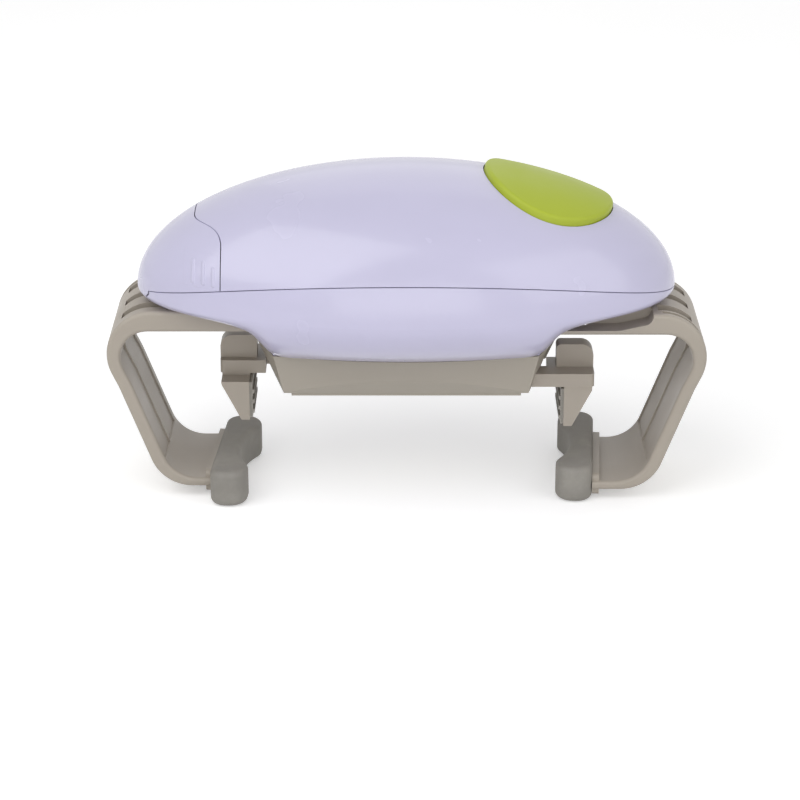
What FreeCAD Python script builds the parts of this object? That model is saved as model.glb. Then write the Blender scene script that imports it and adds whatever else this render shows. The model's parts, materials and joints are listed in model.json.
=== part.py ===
"""Battery-driven jar opener: two sliding arms hold the jar, a turning gripper holds the lid.

Frame: millimetres, +Z up, +X along the housing, origin on the turning axis of the lid gripper at
the level of the jar pads' undersides. Everything is drawn as it stands on a jar, arms and lid jaws
open to a jar of about 100 mm and a lid of about 97 mm.
"""
import FreeCAD, Part
import math
import os

from FreeCAD import Vector

os.makedirs("parts", exist_ok=True)

# ---- Housing ----
HOUSING_LENGTH = 174.0
HOUSING_WIDTH = 94.0
DOME_HEIGHT = 39.5
TIP_LEVEL = 68.0
PARTING_RISE = 13.0
PARTING_DIP = 3.4
PARTING_SHOULDER = 37.0
PARTING_GROOVE = 0.3
SHELL_WALL = 2.2
FLARE_DEPTH = 5.9
TIP_TAPER = 10
SKIRT_DEPTH = 21.85
SKIRT_DROOP = 0.03
SKIRT_FALL = 15.95
SKIRT_BLEND = 6.3
SKIRT_SOFTNESS = 1.5
SKIRT_LEVEL = 49.5
SKIRT_FRONT = 24.9
SKIRT_CORNER = 42.6
SKIRT_CORNER_WIDTH = 19.3
SKIRT_APEX = 49.3
HULL_STATIONS = 24
SCREW_BOSS_RADIUS = 3.0
HOUSING_SCREW_RADIUS = 1.25
SCREW_CLEARANCE = 0.15
SCREW_SINK = 1.3

# ---- Arms ----
ARM_WIDTH = 40.0
ARM_OFFSET = 1.5
ARM_TOP = 63.8
ARM_BAR_HEIGHT = 6.9
ARM_BAR_END = 38.0
ARM_SHOULDER_OUT = 17.9
ARM_KNEE_OUT = 5.7
ARM_KNEE_LEVEL = 37.9
ARM_FOOT_OUT = 17.4
ARM_FOOT = 3.4
ARM_FOOT_THICKNESS = 2.9
ARM_WALL = 4.6
ARM_TRAVEL_IN = 22.0
ARM_TRAVEL_OUT = 4.0
ARM_RACK_TEETH = 18
ARM_MODULE = 1.0
ARM_LEAD_IN = 9.0
ARM_RACK_PLAY = 0.4
ARM_FINGER_WIDTH = 4.85
SHOULDER_RADIUS = 15.0
KNEE_RADIUS = 10.0
FOOT_RADIUS = 14.0
UNDER_BAR_RADIUS = 9.0
INNER_FOOT_RADIUS = 12.0
ARM_EDGE_RADIUS = 1.2
ARM_RECESS = 0.5
ARM_RIM = 4.0
SLOT_WIDTH = 5.0
SLOT_DEPTH = 3.4
SLOT_OUTER_END = 91.5
GROOVE_WIDTH = 2.0
GROOVE_DEPTH = 0.8
POCKET_DEPTH = 7.5
POCKET_START = 42.0
POCKET_BEND = 68.0
POCKET_END = 78.7
SLIDE_CLEARANCE = 0.5
CHANNEL_WALL = 2.0
CHANNEL_PLAY = 1.0

# ---- Jar pads ----
PAD_LENGTH = 52.0
PAD_SHIFT = 1.5
PAD_HEIGHT = 12.0
PAD_INNER = 50.0
PAD_THICKNESS = 12.0
PAD_HOLLOW_RADIUS = 35.8
PAD_HOLLOW_SETBACK = 31.5
PAD_SKEW = 4.0
PAD_NOSE_RADIUS = 5.8
PAD_BACK_RADIUS = 5.0
PAD_CUSP_RADIUS = 3.2
PAD_EDGE_RADIUS = 2.0
PLATE_THICKNESS = 2.2
PLATE_BOTTOM = 1.2
PLATE_TOP = 8.6
PEG_RADIUS = 1.8
PEG_PLAY = 0.2
PEG_LENGTH = 4.0
PEG_SPREAD = 12.0

# ---- Lid gripper ----
CARRIER_GAP = 0.4
CARRIER_BOTTOM = 36.5
CARRIER_FRONT_LOW = 24.5
CARRIER_CORNER_LOW = 39.4
CARRIER_APEX_LOW = 43.6
CARRIER_EDGE = 19.4
CARRIER_CHAMFER_LEVEL = 42.7
HUB_RADIUS = 18.0
HUB_GAP = 1.0
PLATEN_THICKNESS = 1.1
PLATEN_BRIDGE = 17.0
PLATEN_LENGTH = 74.0
PLATEN_INNER = 14.4
PLATEN_OUTER = 18.8
JAW_BAR_WIDTH = 9.0
JAW_BAR_BOTTOM = 36.7
JAW_BAR_HEIGHT = 4.4
JAW_REACH = 60.9
JAW_TRAVEL = 30.0
JAW_RACK_END = 7.0
JAW_PLAY = 0.35
JAW_HEEL_LENGTH = 14.9
JAW_HEEL_BACK = 1.7
JAW_WEB_THICKNESS = 12.0
JAW_WEB_SETBACK = 3.0
JAW_WEB_WIDTH = 6.1
JAW_TONGUE_WIDTH = 21.95
JAW_TONGUE_SHIFT = 2.775
JAW_TONGUE_TOP = 36.0
JAW_TONGUE_BOTTOM = 22.8
JAW_TONGUE_IN = 0.6
JAW_TONGUE_TAPER = 6.4
JAW_FACE = 51.2
JAW_PAD_THICKNESS = 1.0
JAW_RIB = 0.6
LID_MODULE = 0.75
LID_PINION_TEETH = 16
SPINDLE_FOOT_RADIUS = 2.0

# ---- Drive ----
GEAR_MODULE = 0.8
WHEEL_TEETH = 36
PINION_TEETH = 12
GEAR_BACKLASH = 0.16
PRESSURE = math.radians(20)
ADDENDUM = 0.78
DEDENDUM = 1.15
LAYER_HEIGHT = 2.5
LAYER_STEP = 3.1
PLATE_HEIGHT = 2.0
SPINDLE_RADIUS = 3.0
BUSHING_RADIUS = 4.0
BUSHING_FLANGE = 6.4
RUNNING_CLEARANCE = 0.05
PRESS_CLEARANCE = 0.02
MOTOR_RADIUS = 12.0
MOTOR_HEIGHT = 12.6
MOTOR_CAP = 1.6
MOTOR_SHAFT_RADIUS = 0.8
AXLE_RADIUS = 1.0
PILLAR_RADIUS = 2.5
GEARBOX_SCREW_RADIUS = 1.0
LAID_GAP = 0.05

# ---- Power ----
CELL_RADIUS = 7.1
CELL_LENGTH = 50.5
CELL_SPACING = 15.6
CELL_END = 18.0
CELL_NUB = 1.2
CELL_NUB_RADIUS = 2.7
CELL_PLAY = 0.2
TRAY_FLOOR = 1.5
TRAY_WALL = 1.4
CONTACT_STRIP = 0.4
BULKHEAD = 1.6

# ---- Battery cover ----
COVER_SEAM_IN = 29.0
COVER_TONGUE_IN = 19.5
COVER_SHOULDER = 26.0
COVER_NOSE = 5.0
COVER_SWEEP = 8.0
COVER_GAP = 0.3
TAB_LENGTH = 4.6
TAB_DEPTH = 4.0
RIB_PITCH = 3.2
RIB_WIDTH = 1.2
RIB_LOW = 8.0
RIB_HIGH = 17.5
RIB_RECESS = 0.4

# ---- Button and switch ----
BUTTON_CENTRE = 46.0
BUTTON_LENGTH = 43.6
BUTTON_WIDTH = 47.8
BUTTON_PROUD = 2.0
BUTTON_TRAVEL = 2.2
BUTTON_GAP = 0.35
BUTTON_WALL = 1.8
BUTTON_FLANGE = 1.7
BUTTON_ROUNDING = 1.4
STEM_RADIUS = 2.0
STEM_LENGTH = 14.0
BOARD_DROP = 25.5
BOARD_THICKNESS = 1.6
BOARD_START = 48.0
BOARD_LENGTH = 18.0
BOARD_WIDTH = 28.0
BOARD_SCREW_RADIUS = 0.85
SWITCH_AT = 54.3
SWITCH_LENGTH = 10.0
SWITCH_WIDTH = 6.0
SWITCH_HEIGHT = 5.0
SWITCH_PLUNGER = 0.3
SPRING_RADIUS = 2.2
SPRING_WIRE = 0.5
SPRING_TURNS = 4.5
SPRING_ROOM = 10.0
SPRING_PLAY = 0.35
SPRING_PEG_RADIUS = 1.6

# ---- Sizes and levels that follow from the ones above ----
HALF_LENGTH = HOUSING_LENGTH / 2
HALF_WIDTH = HOUSING_WIDTH / 2
PEAK = TIP_LEVEL + DOME_HEIGHT
BEYOND = HOUSING_LENGTH
COVER_SEAM = HALF_LENGTH - COVER_SEAM_IN
COVER_TONGUE = HALF_LENGTH - COVER_TONGUE_IN
ARM_BOTTOM = ARM_TOP - ARM_BAR_HEIGHT
ARM_NEAR = -ARM_WIDTH / 2 - ARM_OFFSET
ARM_FAR = ARM_WIDTH / 2 - ARM_OFFSET
ARM_KNEE = HALF_LENGTH + ARM_KNEE_OUT
ARM_SHOULDER = HALF_LENGTH + ARM_SHOULDER_OUT
RACK_BOTTOM = ARM_BOTTOM + ARM_RACK_PLAY
RACK_TOP = ARM_TOP - ARM_RACK_PLAY
FOOT_TOP = ARM_FOOT + ARM_FOOT_THICKNESS
CHANNEL_FLOOR = ARM_BOTTOM - SLIDE_CLEARANCE
CHANNEL_CEILING = ARM_TOP + SLIDE_CLEARANCE
DECK_TOP = CHANNEL_CEILING + CHANNEL_WALL
FLOOR_BOTTOM = CHANNEL_FLOOR - CHANNEL_WALL
CHANNEL_HALF = ARM_WIDTH / 2 + ARM_OFFSET + CHANNEL_PLAY
ARM_PITCH = ARM_MODULE * ARM_RACK_TEETH / 2
PAD_BACK = PAD_INNER + PAD_THICKNESS
PLATE_FACE = PAD_BACK + LAID_GAP
ARM_FOOT_CORNER = PAD_BACK + ARM_FOOT_OUT
PEGS = [(y, PAD_HEIGHT / 2 - 1) for y in (-PEG_SPREAD, PEG_SPREAD)]
LID_PITCH = LID_MODULE * LID_PINION_TEETH / 2
CARRIER_TOP = SKIRT_LEVEL - CARRIER_GAP
LID_LEVEL = CARRIER_BOTTOM - PLATEN_THICKNESS
JAW_BAR_TOP = JAW_BAR_BOTTOM + JAW_BAR_HEIGHT
JAW_BAR_INNER = LID_PITCH - ADDENDUM * LID_MODULE
JAW_BAR_OUTER = JAW_BAR_INNER + JAW_BAR_WIDTH
JAW_WEB_NEAR = JAW_WEB_SETBACK - JAW_HEEL_BACK
WHEEL_RADIUS = GEAR_MODULE * WHEEL_TEETH / 2
PINION_RADIUS = GEAR_MODULE * PINION_TEETH / 2
GEAR_DISTANCE = WHEEL_RADIUS + PINION_RADIUS
GEAR_BASE_TOP = DECK_TOP + PLATE_HEIGHT + LAID_GAP
LAYERS = [GEAR_BASE_TOP + 0.7 + LAYER_STEP * n for n in range(3)]
GEAR_COVER_BOTTOM = LAYERS[2] + LAYER_HEIGHT + 0.6
GEAR_COVER_TOP = GEAR_COVER_BOTTOM + PLATE_HEIGHT
CELL_AXIS = DECK_TOP + LAID_GAP + TRAY_FLOOR + CELL_RADIUS + CELL_PLAY
CELL_START = -CELL_END - CELL_LENGTH
BOARD_LEVEL = PEAK - BOARD_DROP
BOARD_TOP = BOARD_LEVEL + BOARD_THICKNESS
SPRING_TOP = BOARD_LEVEL + SPRING_ROOM
SPRING_AT = Vector(57.0, 8.0, 0)
STEM_FOOT = Vector(SWITCH_AT, 0, BOARD_TOP + SWITCH_HEIGHT + BUTTON_TRAVEL + 0.9)


def polar(centre, distance, degrees):
    """Point at a distance and direction from another point in plan."""
    turn = math.radians(degrees)
    return Vector(centre.x + distance * math.cos(turn), centre.y + distance * math.sin(turn), 0)


TOWARD_SECOND, TOWARD_FIRST, TOWARD_MOTOR = -60, 20, 110
SPINDLE_AT = Vector(0, 0, 0)
SECOND_AT = polar(SPINDLE_AT, GEAR_DISTANCE, TOWARD_SECOND)
FIRST_AT = polar(SECOND_AT, GEAR_DISTANCE, TOWARD_FIRST)
MOTOR_AT = polar(FIRST_AT, GEAR_DISTANCE, TOWARD_MOTOR)
GEARBOX_CORNERS = [(-8, -35), (46, -30), (46, 14), (-8, 25)]
PILLARS = [Vector(-4, -31, 0), Vector(-4, 20.5, 0), Vector(40, 10, 0), Vector(42, -26, 0)]
END_BOSS = HALF_LENGTH - 17
HOUSING_BOSSES = [Vector(x, y, 0) for x, y in ((END_BOSS, 12), (END_BOSS, -12), (-50, 19.6), (-50, -19.6))]
BOARD_POSTS = [Vector(62, y, 0) for y in (-10, 10)]
CARRIER_SCREWS = [Vector(x, y, 0) for x in (-30, 30) for y in (-16.6, 16.6)]
SHOULDER_SLOTS = [(-12.5, 80.5), (0.0, 66.0), (12.5, 66.0)]


# ---- Small helpers ----
def box(x0, x1, y0, y1, z0, z1):
    """Box between two opposite corners."""
    return Part.makeBox(x1 - x0, y1 - y0, z1 - z0, Vector(x0, y0, z0))


def rod(radius, z0, z1, at=Vector(0, 0, 0)):
    """Upright round bar."""
    return Part.makeCylinder(radius, z1 - z0, Vector(at.x, at.y, z0))


def bore(radius, at=Vector(0, 0, 0)):
    """Upright hole through every level."""
    return rod(radius, 0, PEAK, at)


def tube(radius, inside, z0, z1, at=Vector(0, 0, 0)):
    """Upright tube."""
    return rod(radius, z0, z1, at).cut(rod(inside, z0 - 1, z1 + 1, at))


def bar(radius, x0, x1, y, z):
    """Round bar along the housing."""
    return Part.makeCylinder(radius, x1 - x0, Vector(x0, y, z), Vector(1, 0, 0))


def join(shapes):
    """One solid from several that meet."""
    whole = shapes[0]
    for shape in shapes[1:]:
        whole = whole.fuse(shape)
    return whole.removeSplitter()


def largest(shape):
    """The biggest solid of a shape."""
    return max(shape.Solids, key=lambda solid: solid.Volume)


def chain(edges):
    """Flat face inside a closed chain of edges."""
    return Part.Face(Part.Wire(Part.__sortEdges__(edges)))


def lines(points):
    """Straight edges from point to point."""
    return [Part.LineSegment(a, b).toShape() for a, b in zip(points, points[1:])]


def bend(points):
    """Smooth edge steered by four points."""
    curve = Part.BezierCurve()
    curve.setPoles(points)
    return curve.toShape()


def outline(points, radii=None):
    """Closed face through points, with a round corner where a radius is given."""
    radii = radii or {}
    count = len(points)
    edges = []
    ends = []
    for n, corner in enumerate(points):
        radius = radii.get(n, 0)
        if not radius:
            ends.append((corner, corner))
            continue
        back = (points[n - 1] - corner).normalize()
        ahead = (points[(n + 1) % count] - corner).normalize()
        half = back.getAngle(ahead) / 2
        reach = radius / math.tan(half)
        middle = (back + ahead).normalize() * (radius / math.sin(half) - radius)
        start, end = corner + back * reach, corner + ahead * reach
        edges.append(Part.Arc(start, corner + middle, end).toShape())
        ends.append((start, end))
    for n in range(count):
        start, end = ends[n][1], ends[(n + 1) % count][0]
        if start.distanceToPoint(end) > 1e-6:
            edges.append(Part.LineSegment(start, end).toShape())
    return chain(edges)


def plan(points, z0, z1, radii=None):
    """Upright prism over an outline in plan."""
    return outline([Vector(x, y, z0) for x, y in points], radii).extrude(Vector(0, 0, z1 - z0))


def side(points, y0, y1, radii=None):
    """Prism across the width over an outline seen from the front."""
    return outline([Vector(x, y0, z) for x, z in points], radii).extrude(Vector(0, y1 - y0, 0))


def half_turn(shape):
    """The same shape turned half round about the spindle axis."""
    return shape.rotated(Vector(0, 0, 0), Vector(0, 0, 1), 180)


def screw(radius, z0, z1, head, head_z0, head_z1, at):
    """Round screw with its head above or below the shank."""
    return rod(radius, z0, z1, at).fuse(rod(head, head_z0, head_z1, at)).removeSplitter()


def parts_file(name, *solids):
    """Write one node, a single solid or a group of separate ones."""
    shape = solids[0] if len(solids) == 1 else Part.makeCompound(list(solids))
    if shape.ShapeType == "Compound" and len(shape.Solids) == 1:
        shape = shape.Solids[0]
    shape.exportStep("parts/" + name + ".step")
    print(name, len(shape.Solids), "solid(s)", shape.isValid(), round(shape.Volume, 1))


# ---- Gear teeth ----
def gear_ring(teeth, module, z0, height, at, toward, tooth=True):
    """Spur gear, one tooth (or gap) centred on the direction toward, in degrees."""
    pitch = module * teeth / 2
    base = pitch * math.cos(PRESSURE)
    tip = pitch + ADDENDUM * module
    root = pitch - DEDENDUM * module
    half_pitch_angle = (math.pi / 2 - GEAR_BACKLASH / 2 / module) / teeth
    roll_pitch = math.tan(PRESSURE) - PRESSURE
    start = max(base, root)
    flank = []
    for step in range(4):
        radius = start + (tip - start) * step / 3
        angle = math.acos(min(1, base / radius))
        flank.append((radius, half_pitch_angle + roll_pitch - (math.tan(angle) - angle)))
    flank.insert(0, (root, flank[0][1]))
    turn = math.radians(toward) + (0 if tooth else math.pi / teeth)
    points = []
    for n in range(teeth):
        centre = turn + 2 * math.pi * n / teeth
        points += [(radius, centre - spread) for radius, spread in flank]
        points += [(radius, centre + spread) for radius, spread in reversed(flank)]
    corners = [(at.x + r * math.cos(a), at.y + r * math.sin(a)) for r, a in points]
    return plan(corners, z0, z0 + height)


def rack_teeth(module, pitch_line, x0, x1, z0, height):
    """Row of rack teeth from x0 to x1 pointing back to the spindle, a gap centred at x = 0."""
    step = math.pi * module
    tip = pitch_line - ADDENDUM * module
    root = pitch_line + DEDENDUM * module
    slope = math.tan(PRESSURE)
    half = step / 4 - GEAR_BACKLASH / 4
    wide = half + (root - pitch_line) * slope
    narrow = half - (pitch_line - tip) * slope
    foot = root + 0.2
    teeth = []
    for n in range(math.ceil(x0 / step - 0.5), math.floor(x1 / step - 0.5) + 1):
        middle = (n + 0.5) * step
        points = [(middle - wide, foot), (middle - wide, root), (middle - narrow, tip),
                  (middle + narrow, tip), (middle + wide, root), (middle + wide, foot)]
        teeth.append(plan(points, z0, z0 + height))
    return teeth


# ---- Housing ----
def keel(x, inset):
    """Depth of the underside below the tips at x: shallow flares and a deep central skirt."""
    run = abs(x) + inset - SKIRT_CORNER
    plateau = SKIRT_DEPTH * (1 - SKIRT_DROOP * (x / SKIRT_CORNER) ** 2)
    flare = FLARE_DEPTH + SKIRT_FALL * math.exp(-run / SKIRT_BLEND)
    apart = abs(plateau - flare) / SKIRT_SOFTNESS
    depth = min(plateau, flare) - SKIRT_SOFTNESS * math.log1p(math.exp(-apart))
    taper = math.sqrt(max(0.0, 1 - (abs(x) / (HALF_LENGTH - inset)) ** TIP_TAPER))
    return (depth - inset) * taper


def hull(inset):
    """Whole closed body of the housing, with its surface moved in by inset."""
    reach, beam, rise = (size - inset for size in (HALF_LENGTH, HALF_WIDTH, DOME_HEIGHT))
    sections = [Part.Vertex(Vector(-reach, 0, TIP_LEVEL))]
    for n in range(1 - HULL_STATIONS, HULL_STATIONS):
        x = reach * math.sin(math.pi / 2 * n / HULL_STATIONS)
        share = math.sqrt(1 - (x / reach) ** 2)
        middle = Vector(x, 0, TIP_LEVEL)
        across = middle + Vector(0, beam * share, 0)
        roof = Part.Ellipse(across, middle + Vector(0, 0, rise * share), middle)
        floor = Part.Ellipse(across, middle - Vector(0, 0, keel(x, inset)), middle)
        sections.append(Part.Wire([Part.Arc(curve, 0, math.pi).toShape() for curve in (roof, floor)]))
    sections.append(Part.Vertex(Vector(reach, 0, TIP_LEVEL)))
    return Part.makeLoft(sections, True, False)


def boat(front, corner, corner_width, apex, level):
    """Closed outline of the skirt and gripper in plan: bowed sides and pointed ends."""
    edges = []
    for s in (-1, 1):
        ends = [Vector(s * corner, s * corner_width, level), Vector(-s * corner, s * corner_width, level)]
        edges.append(Part.Arc(ends[0], Vector(0, s * front, level), ends[1]).toShape())
        edges += lines([ends[1], Vector(-s * apex, 0, level), Vector(-s * corner, -s * corner_width, level)])
    return Part.Wire(Part.__sortEdges__(edges))


def skirt(inset, z0, z1):
    """Prism of the skirt's rim, its sides moved in by inset."""
    slope = (SKIRT_APEX - SKIRT_CORNER) / SKIRT_CORNER_WIDTH
    apex = SKIRT_APEX - inset * math.hypot(1, slope)
    width = SKIRT_CORNER_WIDTH - inset
    rim = boat(SKIRT_FRONT - inset, apex - slope * width, width, apex, z0)
    return Part.Face(rim).extrude(Vector(0, 0, z1 - z0))


def above_parting(lift):
    """Space above the arched parting line, moved up by lift."""
    end = HALF_LENGTH + 8
    shoulder = HALF_LENGTH - PARTING_SHOULDER
    low = TIP_LEVEL + lift - PARTING_DIP
    high = (4 * (TIP_LEVEL + lift + PARTING_RISE) - low) / 3
    y = -HOUSING_WIDTH
    arch = bend([Vector(-end, y, low), Vector(-shoulder, y, high), Vector(shoulder, y, high),
                 Vector(end, y, low)])
    roof = PEAK + 30
    corners = [Vector(end, y, low), Vector(end, y, roof), Vector(-end, y, roof), Vector(-end, y, low)]
    return chain([arch] + lines(corners)).extrude(Vector(0, 2 * HOUSING_WIDTH, 0))


def cover_region(lift):
    """Plan region of the battery cover at the left end, its seam moved left by lift."""
    far = -BEYOND
    wide = HOUSING_WIDTH
    seam, tongue = -COVER_SEAM - lift, -COVER_TONGUE - lift
    z0 = FLOOR_BOTTOM
    edges = []
    for s in (-1, 1):
        steer = [(seam, COVER_SHOULDER), (seam, COVER_SHOULDER - COVER_SWEEP),
                 (tongue, COVER_NOSE + COVER_SWEEP), (tongue, COVER_NOSE)]
        edges.append(bend([Vector(x, s * y, z0) for x, y in steer]))
    corners = [(seam, -COVER_SHOULDER), (seam, -wide), (far, -wide), (far, wide), (seam, wide),
               (seam, COVER_SHOULDER)]
    edges += lines([Vector(x, y, z0) for x, y in corners])
    edges += lines([Vector(tongue, -COVER_NOSE, z0), Vector(tongue, COVER_NOSE, z0)])
    return chain(edges).extrude(Vector(0, 0, PEAK))


def button_frame():
    """Centre of the button on the dome and the direction it stands up in."""
    share = math.sqrt(1 - (BUTTON_CENTRE / HALF_LENGTH) ** 2)
    centre = Vector(BUTTON_CENTRE, 0, TIP_LEVEL + DOME_HEIGHT * share)
    slope = DOME_HEIGHT * BUTTON_CENTRE / (HALF_LENGTH ** 2 * share)
    return centre, Vector(math.sin(math.atan(slope)), 0, math.cos(math.atan(slope)))


def button_prism(grow):
    """Oval column through the dome along the pressing direction."""
    centre, upward = button_frame()
    start = centre - upward * 30
    along = upward.cross(Vector(0, 1, 0)) * -1
    major = start + Vector(0, BUTTON_WIDTH / 2 + grow, 0)
    minor = start + along * (BUTTON_LENGTH / 2 + grow)
    return chain([Part.Ellipse(major, minor, start).toShape()]).extrude(upward * 60)


OUTER = hull(0.0)
INNER = hull(SHELL_WALL)
MIDDLE = hull(SHELL_WALL / 2)
SKIN = OUTER.cut(INNER)
UPPER_SPACE = above_parting(PARTING_GROOVE / 2)
LOWER_CUT = above_parting(-PARTING_GROOVE / 2)


def tip_tab():
    """Room of the cover's small end piece, which wraps below the parting line at the left tip."""
    low, high = TIP_LEVEL - TAB_DEPTH, TIP_LEVEL + 3
    end = -HALF_LENGTH + TAB_LENGTH
    points = [(-BEYOND, low), (end - 3.4, low), (end, high - 2), (end, high), (-BEYOND, high)]
    return side(points, -HALF_WIDTH, HALF_WIDTH)


def upper_housing():
    """Dome with the button opening, less the battery cover, with bosses for the housing screws."""
    dome = SKIN.common(UPPER_SPACE).cut(cover_region(0)).cut(button_prism(0))
    bosses = [tube(SCREW_BOSS_RADIUS, HOUSING_SCREW_RADIUS + LAID_GAP, DECK_TOP + 0.1, PEAK, at).common(MIDDLE)
              for at in HOUSING_BOSSES]
    return join([dome] + bosses)


def lower_housing():
    """Underside shell with the arm channel, its ceiling deck, floor plate and board posts."""
    shell = SKIN.cut(box(-BEYOND, BEYOND, -BEYOND, BEYOND, 0, SKIRT_LEVEL))
    rail = CHANNEL_HALF + CHANNEL_WALL
    plates = [box(-BEYOND, BEYOND, -rail, rail, CHANNEL_CEILING, DECK_TOP),
              box(-BEYOND, BEYOND, -BEYOND, BEYOND, FLOOR_BOTTOM, CHANNEL_FLOOR)]
    plates += [box(-BEYOND, BEYOND, y, y + CHANNEL_WALL, FLOOR_BOTTOM, DECK_TOP) for y in (-rail, CHANNEL_HALF)]
    shell = shell.fuse([skirt(0, SKIRT_LEVEL, CHANNEL_FLOOR)] + [plate.common(MIDDLE) for plate in plates])
    shell = shell.cut(LOWER_CUT)
    shell = shell.cut(skirt(SHELL_WALL, SKIRT_LEVEL - 1, FLOOR_BOTTOM))
    shell = shell.cut(box(-BEYOND, BEYOND, -CHANNEL_HALF, CHANNEL_HALF, CHANNEL_FLOOR, CHANNEL_CEILING))
    shell = shell.cut(bore(BUSHING_RADIUS + PRESS_CLEARANCE))
    shell = shell.cut(tip_tab().translated(Vector(COVER_GAP, 0, -COVER_GAP)))
    for at in HOUSING_BOSSES:
        hole = HOUSING_SCREW_RADIUS + SCREW_CLEARANCE
        shell = shell.cut(rod(hole, CHANNEL_CEILING - 1, DECK_TOP + 1, at))
        shell = shell.cut(Part.makeCone(hole + SCREW_SINK, hole, SCREW_SINK, Vector(at.x, at.y, CHANNEL_CEILING)))
    posts = [tube(2.5, BOARD_SCREW_RADIUS + LAID_GAP, DECK_TOP - 0.5, BOARD_LEVEL, at) for at in BOARD_POSTS]
    return largest(largest(shell).fuse(posts))


def battery_cover():
    """Removable left end of the dome: skin, tip tab, grip ribs and the bulkhead behind the cells."""
    skin = SKIN.common(UPPER_SPACE).common(cover_region(COVER_GAP))
    back = CELL_START - 0.4 - BULKHEAD
    bulkhead = box(back - BULKHEAD, back, -HALF_WIDTH, HALF_WIDTH, DECK_TOP + 1, PEAK)
    bulkhead = bulkhead.common(MIDDLE).common(above_parting(0.4))
    cover = join([skin, OUTER.common(tip_tab()), bulkhead])
    low, high = TIP_LEVEL + RIB_LOW, TIP_LEVEL + RIB_HIGH
    ribs = [-COVER_SEAM - RIB_PITCH * (n + 0.85) for n in range(3)]
    start, end = ribs[2] - 2.2, ribs[0] + 1.4
    recess = side([(start, low), (end, low), (end, high), (start, high)], -BEYOND, BEYOND, {2: 1.0, 3: 2.5})
    for x in ribs:
        recess = recess.cut(box(x - RIB_WIDTH / 2, x + RIB_WIDTH / 2, -BEYOND, BEYOND, low - 1, high - 1.5))
    return largest(cover.cut(OUTER.cut(hull(RIB_RECESS)).common(recess)))


def is_crown_rim(edge):
    """True for the long edge round the button's crowned top."""
    middle = edge.valueAt((edge.FirstParameter + edge.LastParameter) / 2)
    sizes = (HALF_LENGTH, HALF_WIDTH, DOME_HEIGHT)
    reach = [c / (size + BUTTON_PROUD) for c, size in zip((middle.x, middle.y, middle.z - TIP_LEVEL), sizes)]
    return abs(sum(share ** 2 for share in reach) - 1) < 0.004 and edge.Length > BUTTON_WIDTH / 2


def button():
    """Oval push button: crowned cap, skirt in the opening, flange under the dome, stem and peg."""
    crown = hull(-BUTTON_PROUD)
    under = hull(SHELL_WALL + 1.8)
    column = button_prism(-BUTTON_GAP)
    hollow = button_prism(-BUTTON_GAP - BUTTON_WALL)
    cap = crown.cut(OUTER).common(column)
    wall = column.cut(hollow).common(crown).cut(under)
    flange = button_prism(BUTTON_FLANGE).cut(hollow).common(hull(SHELL_WALL + 0.3)).cut(under)
    near_top = box(0, BEYOND, -BEYOND, BEYOND, TIP_LEVEL + 5, PEAK + 20)
    pieces = [piece.common(near_top) for piece in (cap, wall, flange)]
    upward = button_frame()[1]
    stem = Part.makeCylinder(STEM_RADIUS, STEM_LENGTH, STEM_FOOT, upward).common(crown)
    peg = rod(SPRING_PEG_RADIUS, SPRING_TOP, PEAK, SPRING_AT).common(crown)
    whole = join(pieces + [stem, peg])
    return whole.makeFillet(BUTTON_ROUNDING, [edge for edge in whole.Edges if is_crown_rim(edge)])


def button_spring():
    """Coil spring of square wire between the circuit board and the button's peg."""
    base = BOARD_TOP + SPRING_PLAY
    height = SPRING_TOP - base - SPRING_PLAY
    path = Part.makeHelix(height / SPRING_TURNS, height, SPRING_RADIUS)
    half = SPRING_WIRE / 2
    corners = [Vector(SPRING_RADIUS + x, 0, z) for x, z in ((-half, -half), (half, -half), (half, half), (-half, half))]
    section = outline(corners).OuterWire
    coil = Part.Wire(path.Edges).makePipeShell([section], True, True)
    return coil.translated(Vector(SPRING_AT.x, SPRING_AT.y, base))


# ---- Arms ----
def leg(z, depth=0.0):
    """Place of the leg at level z, at a depth behind its outer face."""
    if z > ARM_KNEE_LEVEL:
        lean = (ARM_SHOULDER - ARM_KNEE) / (ARM_TOP - ARM_KNEE_LEVEL)
    else:
        lean = (ARM_KNEE - ARM_FOOT_CORNER) / (ARM_KNEE_LEVEL - ARM_FOOT)
    return ARM_KNEE + lean * (z - ARM_KNEE_LEVEL) - depth


def at_levels(depth, *levels):
    """Corner points of the leg at several levels."""
    return [(leg(z, depth), z) for z in levels]


def arm_band(y0, y1):
    """C-shaped band seen from the front: bar on top, curved shoulder, two-part leg and foot."""
    start = PAD_BACK - 2
    points = [(ARM_BAR_END, ARM_TOP)] + at_levels(0, ARM_TOP, ARM_KNEE_LEVEL, ARM_FOOT)
    points += [(start, ARM_FOOT), (start, FOOT_TOP)]
    points += at_levels(ARM_WALL, FOOT_TOP, ARM_KNEE_LEVEL, ARM_BOTTOM) + [(ARM_BAR_END, ARM_BOTTOM)]
    radii = {1: SHOULDER_RADIUS, 2: KNEE_RADIUS, 3: FOOT_RADIUS, 6: INNER_FOOT_RADIUS, 7: KNEE_RADIUS,
             8: UNDER_BAR_RADIUS}
    return side(points, y0, y1, radii)


def under_skin(depth, y0, y1):
    """Inside of the bar and leg at a depth behind the outer face, left standing under a groove."""
    low = ARM_KNEE_LEVEL + 2
    points = [(ARM_BAR_END, ARM_TOP - depth), (leg(ARM_TOP - depth, depth * 1.1), ARM_TOP - depth),
              (leg(low, depth * 1.1), low), (ARM_BAR_END, low)]
    return side(points, y0, y1, {1: SHOULDER_RADIUS - depth})


def skewed(shape):
    """The shape turned with the right pad about the middle of its back."""
    return shape.rotated(Vector(PAD_BACK, 0, 0), Vector(0, 0, 1), -PAD_SKEW)


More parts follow.
